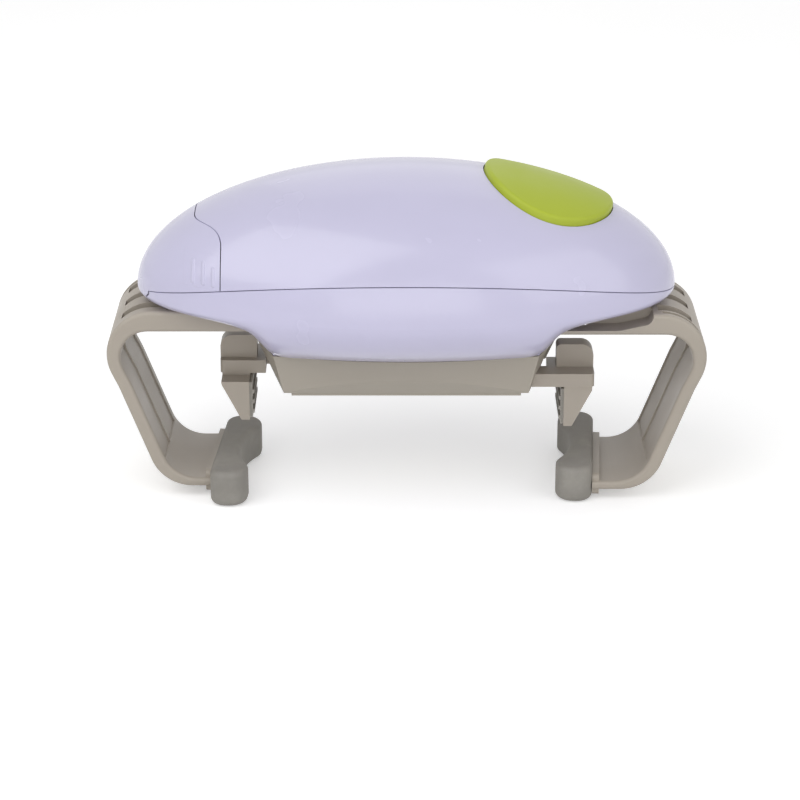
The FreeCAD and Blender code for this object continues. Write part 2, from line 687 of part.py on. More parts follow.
def is_long_rim(edge):
    """True for the edges that run round the band's front and back faces, away from its two ends."""
    ys = [vertex.Y for vertex in edge.Vertexes]
    flat = any(all(abs(y - level) < 1e-6 for y in ys) for level in (ARM_NEAR, ARM_FAR))
    middle = edge.CenterOfMass
    return flat and middle.x > ARM_BAR_END + 5 and middle.x > PAD_BACK


def arm_rack():
    """Rack finger that runs from the arm's bar past the arm pinion."""
    end = -(ARM_LEAD_IN + ARM_TRAVEL_OUT)
    inner = ARM_PITCH + DEDENDUM * ARM_MODULE
    finger = box(end, ARM_BAR_END + 1, inner, inner + ARM_FINGER_WIDTH, RACK_BOTTOM, RACK_TOP)
    return [finger] + rack_teeth(ARM_MODULE, ARM_PITCH, end + 1, ARM_LEAD_IN + ARM_TRAVEL_IN, RACK_BOTTOM,
                                 RACK_TOP - RACK_BOTTOM)


def finger_slot():
    """Passage in the bar for the other arm's rack finger."""
    end = ARM_LEAD_IN + ARM_TRAVEL_OUT + 2 * ARM_TRAVEL_IN + 1
    far = ARM_PITCH + DEDENDUM * ARM_MODULE + ARM_FINGER_WIDTH + 0.7
    near = ARM_PITCH - ADDENDUM * ARM_MODULE - 0.8
    return box(ARM_BAR_END - 1, end, -far, -near, ARM_BOTTOM - 1, ARM_TOP + 1)


def right_arm():
    """Right arm with its rack finger, slots, pocket and pad plate."""
    band = arm_band(ARM_NEAR, ARM_FAR)
    band = band.makeFillet(ARM_EDGE_RADIUS, [edge for edge in band.Edges if is_long_rim(edge)])
    band = band.cut(skewed(box(0, PLATE_FACE, -BEYOND, BEYOND, -1, PAD_HEIGHT)))
    plate = box(PLATE_FACE, PLATE_FACE + PLATE_THICKNESS, ARM_NEAR + 1, ARM_FAR - 1, PLATE_BOTTOM, PLATE_TOP)
    plate = plate.makeFillet(1.6, [e for e in plate.Edges if abs(e.Vertexes[0].X - e.Vertexes[1].X) > 1])
    pegs = [bar(PEG_RADIUS, PAD_BACK - PEG_LENGTH, PLATE_FACE + 1, y, z) for y, z in PEGS]
    arm = join([band] + [skewed(piece) for piece in [plate] + pegs] + arm_rack())
    arm = arm.cut(finger_slot())
    floor = ARM_BOTTOM + 1.6
    above = ARM_TOP + 2
    pocket = [(POCKET_START, floor), (POCKET_BEND, floor), (POCKET_END, floor + 2.4), (POCKET_END, above),
              (POCKET_START, above)]
    arm = arm.cut(side(pocket, ARM_NEAR - 1, ARM_NEAR + POCKET_DEPTH, {1: 8.0, 2: 3.0}))
    for shift, start in SHOULDER_SLOTS:
        y = shift - ARM_OFFSET
        slot = box(start, SLOT_OUTER_END, y - SLOT_WIDTH / 2, y + SLOT_WIDTH / 2, ARM_BOTTOM, ARM_TOP + 1)
        arm = arm.cut(slot.cut(under_skin(SLOT_DEPTH, y - SLOT_WIDTH, y + SLOT_WIDTH)))
    near = ARM_NEAR + ARM_RIM / 2
    groove = box(POCKET_END + 3, ARM_SHOULDER, near, near + GROOVE_WIDTH, ARM_KNEE_LEVEL + 4, ARM_TOP + 1)
    arm = arm.cut(groove.cut(under_skin(GROOVE_DEPTH, near - 1, near + GROOVE_WIDTH + 1)))
    window = at_levels(ARM_WALL - ARM_RECESS, FOOT_TOP + 6, ARM_KNEE_LEVEL, ARM_BOTTOM - 9)
    window += at_levels(ARM_WALL + 5, ARM_BOTTOM - 9, ARM_KNEE_LEVEL, FOOT_TOP + 6)
    seam = (ARM_NEAR + ARM_RIM + ARM_FAR) / 2
    for y0, y1 in ((ARM_NEAR + ARM_RIM, seam - 0.6), (seam + 0.6, ARM_FAR - 1.6)):
        arm = arm.cut(side(window, y0, y1, {1: KNEE_RADIUS}))
    return arm


def jar_pad():
    """Right rubber pad: block with a hollow inner face, rounded noses and two peg holes."""
    near, far = PAD_SHIFT - PAD_LENGTH / 2, PAD_SHIFT + PAD_LENGTH / 2
    corners = [(PAD_BACK, near), (PAD_INNER, near), (PAD_INNER, far), (PAD_BACK, far)]
    radii = {0: PAD_BACK_RADIUS, 1: PAD_NOSE_RADIUS, 2: PAD_NOSE_RADIUS, 3: PAD_BACK_RADIUS}
    pad = plan(corners, 0, PAD_HEIGHT, radii)
    pad = pad.cut(bore(PAD_HOLLOW_RADIUS, Vector(PAD_INNER - PAD_HOLLOW_SETBACK, PAD_SHIFT, 0))
                  .translated(Vector(0, 0, -1)))
    cusps = [e for e in pad.Edges if abs(e.CenterOfMass.x - PAD_INNER) < 0.01
             and abs(e.CenterOfMass.z - PAD_HEIGHT / 2) < 0.01 and len(e.Vertexes) == 2
             and abs(abs(e.CenterOfMass.y - PAD_SHIFT) - 17) < 1]
    pad = pad.makeFillet(PAD_CUSP_RADIUS, cusps)
    rims = [e for e in pad.Edges if e.BoundBox.ZLength < 1e-3]
    pad = pad.makeFillet(PAD_EDGE_RADIUS, rims)
    for y, z in PEGS:
        pad = pad.cut(bar(PEG_RADIUS + PEG_PLAY, PAD_BACK - PEG_LENGTH - 0.3, PAD_BACK + 1, y, z))
    return skewed(pad)


# ---- Lid gripper ----
def jaw_channel():
    """Room of the left jaw in the carrier: rack passage, heel room and web slot."""
    near, far = -JAW_HEEL_BACK - JAW_PLAY, JAW_BAR_OUTER + JAW_PLAY
    bottom, top = CARRIER_BOTTOM - 1, JAW_BAR_TOP + 0.3
    heel_end = -JAW_REACH + JAW_HEEL_LENGTH + JAW_TRAVEL + 0.4
    web_end = -JAW_REACH + JAW_WEB_THICKNESS + JAW_TRAVEL + 0.8
    rack = box(-BEYOND, JAW_RACK_END + JAW_TRAVEL + 1, JAW_BAR_INNER - JAW_PLAY, far, bottom, top)
    heel = box(-BEYOND, heel_end, near, far, bottom, top)
    web = box(-BEYOND, web_end, JAW_WEB_NEAR - JAW_PLAY, JAW_WEB_NEAR + JAW_WEB_WIDTH + JAW_PLAY, top - 1,
              CARRIER_TOP + 1)
    return rack.fuse(heel).fuse(web)


def lid_carrier():
    """Boat-shaped gripper body with its bearing hub, jaw channels and pinion pocket."""
    top = boat(SKIRT_FRONT, SKIRT_CORNER, SKIRT_CORNER_WIDTH, SKIRT_APEX, CARRIER_TOP)
    low = boat(CARRIER_FRONT_LOW, CARRIER_CORNER_LOW, CARRIER_EDGE, CARRIER_APEX_LOW, CARRIER_BOTTOM)
    block = Part.makeLoft([low, top], True, True)
    for s in (-1, 1):
        outside = s * BEYOND
        chamfer = [(SKIRT_FRONT * s, CARRIER_CHAMFER_LEVEL), (CARRIER_EDGE * s, CARRIER_BOTTOM),
                   (CARRIER_EDGE * s, 0), (outside, 0), (outside, CARRIER_CHAMFER_LEVEL)]
        face = outline([Vector(-BEYOND, y, z) for y, z in chamfer])
        block = block.cut(face.extrude(Vector(2 * BEYOND, 0, 0)))
    hub = rod(HUB_RADIUS, CARRIER_TOP - 1, FLOOR_BOTTOM - HUB_GAP)
    channel = jaw_channel()
    carrier = join([block, hub]).cut(channel).cut(half_turn(channel))
    carrier = carrier.cut(rod(LID_PITCH + 1.4, CARRIER_BOTTOM - 1, JAW_BAR_TOP + 0.3))
    carrier = carrier.cut(bore(SPINDLE_RADIUS + PRESS_CLEARANCE))
    for at in CARRIER_SCREWS:
        carrier = carrier.cut(rod(1.1, CARRIER_BOTTOM - 1, CARRIER_BOTTOM + 6, at))
    return carrier


def platen():
    """H-shaped plate under the carrier that rests on the lid and keeps the jaw bars in."""
    half = PLATEN_LENGTH / 2
    bars = [box(-half, half, y, y + PLATEN_OUTER - PLATEN_INNER, LID_LEVEL, CARRIER_BOTTOM)
            for y in (-PLATEN_OUTER, PLATEN_INNER)]
    bridge = box(-PLATEN_BRIDGE, PLATEN_BRIDGE, -PLATEN_INNER - 1, PLATEN_INNER + 1, LID_LEVEL, CARRIER_BOTTOM)
    plate = join(bars + [bridge])
    for at in CARRIER_SCREWS:
        plate = plate.cut(rod(1.2, LID_LEVEL - 1, CARRIER_BOTTOM + 1, at))
        plate = plate.cut(rod(1.9, LID_LEVEL - 1, LID_LEVEL + 0.6, at))
    return plate


def carrier_screws():
    """Four small screws that hold the plate to the carrier."""
    return [screw(1.0, LID_LEVEL + 0.5, CARRIER_BOTTOM + 5, 1.65, LID_LEVEL + 0.05, LID_LEVEL + 0.6, at)
            for at in CARRIER_SCREWS]


def left_jaw():
    """Left lid jaw: rack bar, heel, upright web and downward tongue."""
    root = LID_PITCH + DEDENDUM * LID_MODULE
    heel_end = -JAW_REACH + JAW_HEEL_LENGTH
    rack = box(-JAW_REACH + 1, JAW_RACK_END, root, JAW_BAR_OUTER, JAW_BAR_BOTTOM, JAW_BAR_TOP)
    teeth = rack_teeth(LID_MODULE, LID_PITCH, -JAW_TRAVEL - 6, JAW_RACK_END - 0.4, JAW_BAR_BOTTOM, JAW_BAR_HEIGHT)
    heel = box(-JAW_REACH, heel_end, -JAW_HEEL_BACK, JAW_BAR_OUTER, JAW_BAR_BOTTOM, JAW_BAR_TOP)
    heel = heel.makeFillet(1.5, [e for e in heel.Edges if e.CenterOfMass.x < -JAW_REACH + 0.01
                                 and e.BoundBox.ZLength > 1])
    web_in = -JAW_REACH + JAW_WEB_THICKNESS
    web_top = CARRIER_TOP - 0.3
    web = side([(-JAW_REACH, JAW_BAR_TOP - 2), (web_in, JAW_BAR_TOP - 2), (web_in, web_top), (-JAW_REACH, web_top)],
               JAW_WEB_NEAR, JAW_WEB_NEAR + JAW_WEB_WIDTH, {2: 1.5, 3: 4.0})
    half = JAW_TONGUE_WIDTH / 2
    near, far = JAW_TONGUE_SHIFT - half, JAW_TONGUE_SHIFT + half
    outer = -JAW_REACH + JAW_TONGUE_IN
    profile = [(outer, JAW_TONGUE_TOP), (outer, JAW_TONGUE_TOP - 0.8),
               (outer + JAW_TONGUE_TAPER, JAW_TONGUE_BOTTOM), (-JAW_FACE, JAW_TONGUE_BOTTOM),
               (-JAW_FACE, JAW_TONGUE_TOP)]
    tongue = side(profile, near, far, {1: 3.0})
    neck = box(outer, -JAW_FACE, -JAW_HEEL_BACK + 0.3, far, JAW_TONGUE_TOP - 1, JAW_BAR_BOTTOM + 1)
    return join([rack, heel, web, tongue, neck] + teeth)


def left_jaw_pad():
    """Rubber facing of the left jaw, with three grip ribs."""
    half = JAW_TONGUE_WIDTH / 2 - 0.6
    near, far = JAW_TONGUE_SHIFT - half, JAW_TONGUE_SHIFT + half
    face = -JAW_FACE + JAW_PAD_THICKNESS
    pad = box(-JAW_FACE, face, near, far, JAW_TONGUE_BOTTOM + 0.6, JAW_TONGUE_TOP - 0.4)
    ribs = [box(face - 0.1, face + JAW_RIB, near, far, z, z + 1.2) for z in (25.0, 28.4, 31.8)]
    return join([pad] + ribs)


# ---- Drive ----
def compound_gear(at, layer, wheel_toward, pinion_toward):
    """Wheel with a pinion below it on the same hub, running on a fixed axle."""
    wheel = gear_ring(WHEEL_TEETH, GEAR_MODULE, LAYERS[layer], LAYER_HEIGHT, at, wheel_toward, False)
    pinion = gear_ring(PINION_TEETH, GEAR_MODULE, LAYERS[layer - 1], LAYER_STEP + 0.01, at, pinion_toward)
    return join([wheel, pinion]).cut(bore(AXLE_RADIUS + RUNNING_CLEARANCE, at))


def gear_plates():
    """Base and cover plates of the gearbox; the cover carries the pillars and the motor."""
    radii = {n: 4.0 for n in range(4)}
    base = plan(GEARBOX_CORNERS, DECK_TOP + LAID_GAP, GEAR_BASE_TOP, radii)
    base = base.cut(bore(BUSHING_RADIUS + 3.0))
    cover = plan(GEARBOX_CORNERS, GEAR_COVER_BOTTOM, GEAR_COVER_TOP, radii)
    cover = cover.cut(bore(3.2, MOTOR_AT)).cut(bore(SPINDLE_RADIUS + 1.4))
    cover = join([cover] + [rod(PILLAR_RADIUS, GEAR_BASE_TOP, GEAR_COVER_BOTTOM + 0.5, at) for at in PILLARS])
    holes = [bore(GEARBOX_SCREW_RADIUS + 0.1, at) for at in PILLARS]
    holes += [bore(AXLE_RADIUS + PRESS_CLEARANCE, at) for at in (FIRST_AT, SECOND_AT)]
    for hole in holes:
        base = base.cut(hole)
        cover = cover.cut(hole)
    return base, cover


def gearbox_screws():
    """Four screws down the pillars into the base."""
    head = GEAR_COVER_TOP + LAID_GAP
    return [screw(GEARBOX_SCREW_RADIUS, DECK_TOP + 0.3, head + LAID_GAP, 1.9, head, head + 1.35, at)
            for at in PILLARS]


def spindle():
    """Steel shaft from the main gear down to the lid pinion."""
    top = LAYERS[0] + LAYER_HEIGHT
    shaft = rod(SPINDLE_RADIUS, JAW_BAR_TOP + 0.4, top + 0.1)
    foot = rod(SPINDLE_FOOT_RADIUS, JAW_BAR_BOTTOM, JAW_BAR_TOP + 0.5)
    head = rod(2.5, top, top + 1.6)
    return join([shaft, foot, head]).cut(tube(3.0, 2.1, top + 0.4, top + 1.1))


def retaining_clip():
    """Open clip in the groove above the main gear."""
    top = LAYERS[0] + LAYER_HEIGHT
    ring = tube(3.8, 2.15, top + 0.45, top + 1.05)
    return ring.cut(box(0, 6, -1.2, 1.2, top, top + 2))


def bushing():
    """Bronze sleeve for the spindle, through the channel, with a flange on the deck."""
    inside = SPINDLE_RADIUS + RUNNING_CLEARANCE
    return join([tube(BUSHING_RADIUS, inside, FLOOR_BOTTOM, GEAR_BASE_TOP),
                 tube(BUSHING_FLANGE, inside, DECK_TOP, GEAR_BASE_TOP)])


def motor():
    """Flat motor standing on the gearbox cover: can, end cap with terminals, and shaft."""
    top = GEAR_COVER_TOP + MOTOR_HEIGHT
    can = rod(MOTOR_RADIUS, GEAR_COVER_TOP, top, MOTOR_AT)
    can = can.cut(rod(2 * MOTOR_SHAFT_RADIUS, 0, top - 2, MOTOR_AT))
    nose = tube(3.0, 2 * MOTOR_SHAFT_RADIUS, GEAR_COVER_TOP - 1.2, GEAR_COVER_TOP + 0.2, MOTOR_AT)
    cap = rod(MOTOR_RADIUS - 1.4, top, top + MOTOR_CAP, MOTOR_AT)
    tabs = [box(MOTOR_AT.x + x - 1.2, MOTOR_AT.x + x + 1.2, MOTOR_AT.y - 0.3, MOTOR_AT.y + 0.3,
                top + MOTOR_CAP - 0.1, top + MOTOR_CAP + 1.4) for x in (-5, 5)]
    shaft = rod(MOTOR_SHAFT_RADIUS, LAYERS[2] - 0.3, top - 3, MOTOR_AT)
    return join([can, nose]), join([cap] + tabs), shaft


# ---- Power ----
def batteries():
    """Two AA cells side by side, opposite ways round."""
    cells = []
    for s in (-1, 1):
        y = s * CELL_SPACING / 2
        body_start = CELL_START + (CELL_NUB if s > 0 else 0)
        nub_start = CELL_START if s > 0 else -CELL_END - CELL_NUB - 0.1
        body = bar(CELL_RADIUS, body_start, body_start + CELL_LENGTH - CELL_NUB, y, CELL_AXIS)
        nub = bar(CELL_NUB_RADIUS, nub_start, nub_start + CELL_NUB + 0.1, y, CELL_AXIS)
        cells.append(body.fuse(nub).removeSplitter())
    return cells


def battery_tray():
    """Cradle on the deck that carries the two cells, with an end wall for the contacts."""
    left, right = CELL_START + 1.5, -CELL_END + 0.6
    far = right + TRAY_WALL
    half = CELL_SPACING / 2 + CELL_RADIUS + 1.3
    cradle = box(left, far, -half, half, DECK_TOP + LAID_GAP, CELL_AXIS + 1)
    for y in (-CELL_SPACING / 2, CELL_SPACING / 2):
        cradle = cradle.cut(bar(CELL_RADIUS + CELL_PLAY, left - 1, right, y, CELL_AXIS))
    cradle = cradle.cut(box(left - 1, right, -CELL_SPACING / 2, CELL_SPACING / 2, CELL_AXIS - 1.2, PEAK))
    strip = CELL_SPACING / 2 + 4.3
    cradle = cradle.cut(box(-CELL_END - 0.2, right, -strip, strip, CELL_AXIS - 3.3, CELL_AXIS + 3.3))
    wall = box(right, far, -half, half, DECK_TOP + 1, CELL_AXIS + CELL_RADIUS - 1)
    return join([cradle, wall])


def contact_strip(face, reach):
    """Flat strip with its contact face at face and two dimples that reach toward the cells."""
    far = face - math.copysign(CONTACT_STRIP, reach)
    half = CELL_SPACING / 2 + 4
    strip = box(min(face, far), max(face, far), -half, half, CELL_AXIS - 3, CELL_AXIS + 3)
    start = face - math.copysign(0.05, reach)
    dimples = [Part.makeCone(2.4, 1.2, abs(reach) + 0.05, Vector(start, y, CELL_AXIS), Vector(reach, 0, 0))
               for y in (-CELL_SPACING / 2, CELL_SPACING / 2)]
    return join([strip] + dimples)


# ---- Board and screws ----
def circuit_board():
    """Board on its two posts."""
    half = BOARD_WIDTH / 2
    board = box(BOARD_START, BOARD_START + BOARD_LENGTH, -half, half, BOARD_LEVEL, BOARD_TOP)
    for at in BOARD_POSTS:
        board = board.cut(bore(BOARD_SCREW_RADIUS + SCREW_CLEARANCE, at))
    return board


def switch():
    """Micro switch body with its short plunger."""
    half, deep = SWITCH_LENGTH / 2, SWITCH_WIDTH / 2
    top = BOARD_TOP + SWITCH_HEIGHT
    body = box(SWITCH_AT - half, SWITCH_AT + half, -deep, deep, BOARD_TOP, top)
    return join([body, rod(1.0, top - 0.1, top + SWITCH_PLUNGER, Vector(SWITCH_AT, 0, 0))])


def board_screws():
    """Two pan-head screws that hold the board on its posts."""
    return [screw(BOARD_SCREW_RADIUS, BOARD_LEVEL - 6, BOARD_TOP + 0.05, 1.9, BOARD_TOP, BOARD_TOP + 1.2, at)
            for at in BOARD_POSTS]


def housing_screws():
    """Countersunk screws up through the deck into the dome's bosses."""
    screws = []
    head = HOUSING_SCREW_RADIUS + SCREW_SINK + 0.05
    for at in HOUSING_BOSSES:
        cone = Part.makeCone(head, HOUSING_SCREW_RADIUS, SCREW_SINK - 0.05, Vector(at.x, at.y, CHANNEL_CEILING + 0.02))
        shank = rod(HOUSING_SCREW_RADIUS, CHANNEL_CEILING + 0.5, DECK_TOP + 12, at)
        screws.append(cone.fuse(shank).removeSplitter())
    return screws


# ---- Write every piece ----
ARM_RIGHT = right_arm()
PAD_RIGHT = jar_pad()
JAW_LEFT = left_jaw()
JAW_PAD_LEFT = left_jaw_pad()
GEAR_BASE, GEAR_COVER = gear_plates()
CAN, CAP, SHAFT = motor()
ARM_PINION = gear_ring(ARM_RACK_TEETH, ARM_MODULE, RACK_BOTTOM, RACK_TOP - RACK_BOTTOM, SPINDLE_AT, 90)
LID_PINION = gear_ring(LID_PINION_TEETH, LID_MODULE, JAW_BAR_BOTTOM, JAW_BAR_HEIGHT, SPINDLE_AT, 90)
MAIN_GEAR = gear_ring(WHEEL_TEETH, GEAR_MODULE, LAYERS[0], LAYER_HEIGHT, SPINDLE_AT, TOWARD_SECOND, False)
MOTOR_PINION = gear_ring(PINION_TEETH, GEAR_MODULE, LAYERS[2], LAYER_HEIGHT, MOTOR_AT, TOWARD_MOTOR - 180)
print("button stands up along", button_frame()[1], "spring foot", BOARD_TOP + SPRING_PLAY)

parts_file("upper_housing", upper_housing())
parts_file("lower_housing", lower_housing())
parts_file("battery_cover", battery_cover())
parts_file("start_button", button())
parts_file("button_spring", button_spring())
parts_file("right_arm", ARM_RIGHT)
parts_file("left_arm", half_turn(ARM_RIGHT))
parts_file("right_jar_pad", PAD_RIGHT)
parts_file("left_jar_pad", half_turn(PAD_RIGHT))
parts_file("arm_pinion", ARM_PINION.cut(bore(BUSHING_RADIUS + RUNNING_CLEARANCE)))
parts_file("lid_carrier", lid_carrier())
parts_file("lid_platen", platen())
parts_file("carrier_screws", *carrier_screws())
parts_file("left_lid_jaw", JAW_LEFT)
parts_file("right_lid_jaw", half_turn(JAW_LEFT))
parts_file("left_jaw_pad", JAW_PAD_LEFT)
parts_file("right_jaw_pad", half_turn(JAW_PAD_LEFT))
parts_file("lid_pinion", LID_PINION.cut(bore(SPINDLE_FOOT_RADIUS + RUNNING_CLEARANCE)))
parts_file("drive_spindle", spindle())
parts_file("spindle_bushing", bushing())
parts_file("thrust_washer", tube(HUB_RADIUS - 6, SPINDLE_RADIUS + 2, FLOOR_BOTTOM - 0.9, FLOOR_BOTTOM - 0.1))
parts_file("retaining_clip", retaining_clip())
parts_file("main_gear", MAIN_GEAR.cut(bore(SPINDLE_RADIUS + PRESS_CLEARANCE)))
parts_file("second_gear", compound_gear(SECOND_AT, 1, TOWARD_FIRST, TOWARD_SECOND + 180))
parts_file("first_gear", compound_gear(FIRST_AT, 2, TOWARD_MOTOR, TOWARD_FIRST + 180))
parts_file("gear_axles", *[rod(AXLE_RADIUS, DECK_TOP + 0.2, GEAR_COVER_TOP - 0.2, at)
                           for at in (FIRST_AT, SECOND_AT)])
parts_file("gearbox_base", GEAR_BASE)
parts_file("gearbox_cover", GEAR_COVER)
parts_file("gearbox_screws", *gearbox_screws())
parts_file("motor_can", CAN)
parts_file("motor_end_cap", CAP)
parts_file("motor_shaft", SHAFT)
parts_file("motor_pinion", MOTOR_PINION.cut(bore(MOTOR_SHAFT_RADIUS + PRESS_CLEARANCE, MOTOR_AT)))
parts_file("batteries", *batteries())
parts_file("battery_tray", battery_tray())
parts_file("fixed_contacts", contact_strip(-CELL_END + 0.1, -0.1))
parts_file("cover_contact", contact_strip(CELL_START - BULKHEAD, BULKHEAD - 0.1))
parts_file("circuit_board", circuit_board())
parts_file("micro_switch", switch())
parts_file("board_screws", *board_screws())
parts_file("housing_screws", *housing_screws())
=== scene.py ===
# %% [markdown]
# # An electric jar opener, dressed lamp by lamp
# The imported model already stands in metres, with +X along the housing and +Z up. This lesson gives
# each piece its finish, adds the forms that only a mesh can show, and sets a small studio round it.
# %% Load the frame
import json
import math

import bmesh
import bpy
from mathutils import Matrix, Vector


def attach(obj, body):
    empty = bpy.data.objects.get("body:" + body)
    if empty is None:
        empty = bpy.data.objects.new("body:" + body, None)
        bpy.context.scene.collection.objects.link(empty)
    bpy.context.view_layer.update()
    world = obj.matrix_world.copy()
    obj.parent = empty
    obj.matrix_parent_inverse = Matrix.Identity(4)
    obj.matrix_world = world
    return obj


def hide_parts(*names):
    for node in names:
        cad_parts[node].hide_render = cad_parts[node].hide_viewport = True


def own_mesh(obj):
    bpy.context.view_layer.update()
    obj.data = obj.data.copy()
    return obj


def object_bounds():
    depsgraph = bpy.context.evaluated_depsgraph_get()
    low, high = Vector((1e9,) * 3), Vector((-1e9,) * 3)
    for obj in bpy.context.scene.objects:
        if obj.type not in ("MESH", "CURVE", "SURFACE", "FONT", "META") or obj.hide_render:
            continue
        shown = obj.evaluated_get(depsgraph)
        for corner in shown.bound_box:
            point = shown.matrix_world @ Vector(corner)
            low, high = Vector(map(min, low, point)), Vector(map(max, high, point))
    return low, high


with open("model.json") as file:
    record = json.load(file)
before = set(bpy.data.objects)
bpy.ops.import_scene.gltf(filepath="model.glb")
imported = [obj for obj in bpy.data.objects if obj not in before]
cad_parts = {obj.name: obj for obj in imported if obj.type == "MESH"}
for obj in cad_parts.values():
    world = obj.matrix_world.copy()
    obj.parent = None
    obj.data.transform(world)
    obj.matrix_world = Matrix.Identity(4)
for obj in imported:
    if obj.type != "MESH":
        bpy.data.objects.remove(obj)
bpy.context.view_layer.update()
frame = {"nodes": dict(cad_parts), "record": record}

MM = 0.001
nodes = frame["nodes"]

# %% [markdown]
# ## The studio
# The camera looks down on the housing at about 21 degrees from a little under a metre, through a
# long lens. A long lens keeps the two arms nearly parallel. The focal length follows from how many
# pixels one metre covers at the target, in a frame of 800 pixels.
# %% Camera
FRAME_PIXELS = 800
CAMERA_DISTANCE = 0.910
CAMERA_ELEVATION = 21.38
PIXELS_PER_METRE = 1000 / 0.33
TARGET = Vector((-0.0020, 0.0, 0.0265))
SENSOR = 36.0
NEAREST_SEEN = 0.01

scene = bpy.context.scene
scene.view_settings.view_transform = "Standard"
tilt = math.radians(CAMERA_ELEVATION)
camera = bpy.data.objects.new("camera", bpy.data.cameras.new("camera"))
scene.collection.objects.link(camera)
camera.location = TARGET + CAMERA_DISTANCE * Vector((0, -math.cos(tilt), math.sin(tilt)))
camera.rotation_euler = (TARGET - camera.location).to_track_quat("-Z", "Y").to_euler()
camera.data.sensor_width = SENSOR
camera.data.lens = SENSOR * CAMERA_DISTANCE * PIXELS_PER_METRE / FRAME_PIXELS
camera.data.clip_start = NEAREST_SEEN
scene.camera = camera
print("lens", round(camera.data.lens, 1), "mm")

# %% [markdown]
# ## Lamps
# Glossy plastic shows its lamps, so the main lamp is one big soft panel overhead and to the left,
# as in a product tent. A second panel fills the right side, a low one keeps the underside from going
# black, and a weak one behind lifts the far flank. Each row gives the place and the width in metres,
# and the power in watts.
# %% Lamps
LAMPS = [
    ("key_panel", (-0.60, -0.50, 0.95), 1.1, 6.6),
    ("fill_panel", (0.85, -0.60, 0.60), 1.0, 3.2),
    ("front_panel", (0.0, -1.3, 0.30), 0.9, 3.4),
    ("back_panel", (0.1, 0.9, 0.8), 0.9, 1.0),
]
LAMP_AIM = Vector((0, 0, 0.06))


def area_lamp(name, place, width, power):
    """A square panel aimed at the middle of the object."""
    lamp = bpy.data.objects.new(name, bpy.data.lights.new(name, "AREA"))
    lamp.data.size = width
    lamp.data.energy = power
    lamp.location = place
    lamp.rotation_euler = (LAMP_AIM - lamp.location).to_track_quat("-Z", "Y").to_euler()
    scene.collection.objects.link(lamp)


for name, place, width, power in LAMPS:
    area_lamp(name, place, width, power)
print("lamps:", len(LAMPS))

# %% [markdown]
# ## A white tent
# The world is white to the eye and to reflections, and its real light is weaker, so that it doesn't
# wash out the lamps. The Light Path node tells the two kinds of ray apart. The same helper serves
# the floor further down.
# %% World
WORLD_LIGHT = 0.42
WHITE = (1, 1, 1, 1)


def seen_strength(tree, unseen, seen):
    """One strength for camera, glossy and transmission rays, another for all light that is cast."""
    path = tree.nodes.new("ShaderNodeLightPath")
    last = path.outputs["Is Camera Ray"]
    for ray in ("Is Glossy Ray", "Is Transmission Ray"):
        either = tree.nodes.new("ShaderNodeMath")
        either.operation = "MAXIMUM"
        tree.links.new(last, either.inputs[0])
        tree.links.new(path.outputs[ray], either.inputs[1])
        last = either.outputs[0]
    strength = tree.nodes.new("ShaderNodeMapRange")
    strength.inputs["To Min"].default_value = unseen
    strength.inputs["To Max"].default_value = seen
    tree.links.new(last, strength.inputs["Value"])
    return strength.outputs[0]


world = bpy.data.worlds.new("tent")
scene.world = world
world.use_nodes = True
tree = world.node_tree
tree.nodes.clear()
sky = tree.nodes.new("ShaderNodeBackground")
out = tree.nodes.new("ShaderNodeOutputWorld")
tree.links.new(seen_strength(tree, WORLD_LIGHT, 1.0), sky.inputs["Strength"])
tree.links.new(sky.outputs[0], out.inputs["Surface"])
sky.inputs["Color"].default_value = WHITE
print("world nodes:", len(tree.nodes))

# %% [markdown]
# ## Node helpers
# Every finish below is built from the same few blocks: noise on Object coordinates, a colour ramp,
# a map from one range to another, and a mix. Object coordinates don't slide when the piece moves or
# the camera turns. A Mix node has its sockets once for each kind of value under the same names, so
# its colour sockets are found by number.
# %% Node helpers
COLOUR_A, COLOUR_B, COLOUR_RESULT = 6, 7, 2


def new_material(name):
    """An empty node material with a Principled shader wired to the output."""
    material = bpy.data.materials.new(name)
    material.use_nodes = True
    tree = material.node_tree
    tree.nodes.clear()
    out = tree.nodes.new("ShaderNodeOutputMaterial")
    shader = tree.nodes.new("ShaderNodeBsdfPrincipled")
    tree.links.new(shader.outputs[0], out.inputs["Surface"])
    return material, tree, shader


def noise(tree, scale, detail, stretch=(1, 1, 1), rough=0.5):
    """Noise in object space, scale in cells per metre."""
    place = tree.nodes.new("ShaderNodeTexCoord")
    mapping = tree.nodes.new("ShaderNodeMapping")
    mapping.inputs["Scale"].default_value = stretch
    grain = tree.nodes.new("ShaderNodeTexNoise")
    grain.inputs["Scale"].default_value = scale
    grain.inputs["Detail"].default_value = detail
    grain.inputs["Roughness"].default_value = rough
    tree.links.new(place.outputs["Object"], mapping.inputs["Vector"])
    tree.links.new(mapping.outputs[0], grain.inputs["Vector"])
    return grain.outputs["Fac"]


def ramp(tree, source, stops):
    """Colour ramp through (position, colour) stops."""
    node = tree.nodes.new("ShaderNodeValToRGB")
    band = node.color_ramp
    while len(band.elements) < len(stops):
        band.elements.new(0.5)
    for element, (position, colour) in zip(band.elements, stops):
        element.position = position
        element.color = (*colour, 1)
    tree.links.new(source, node.inputs["Fac"])
    return node.outputs["Color"]


def shade(colour, factor):
    """The same colour, lighter or darker."""
    return tuple(min(1.0, channel * factor) for channel in colour)


def tones(tree, source, colour, stops):
    """Ramp through lighter and darker shades of one colour, from (position, factor) stops."""
    return ramp(tree, source, [(position, shade(colour, factor)) for position, factor in stops])


def spread(tree, source, taken, given):
    """Map one (low, high) range of a value onto another."""
    node = tree.nodes.new("ShaderNodeMapRange")
    for end, value in zip(("From Min", "From Max", "To Min", "To Max"), (*taken, *given)):
        node.inputs[end].default_value = value
    tree.links.new(source, node.inputs["Value"])
    return node.outputs[0]


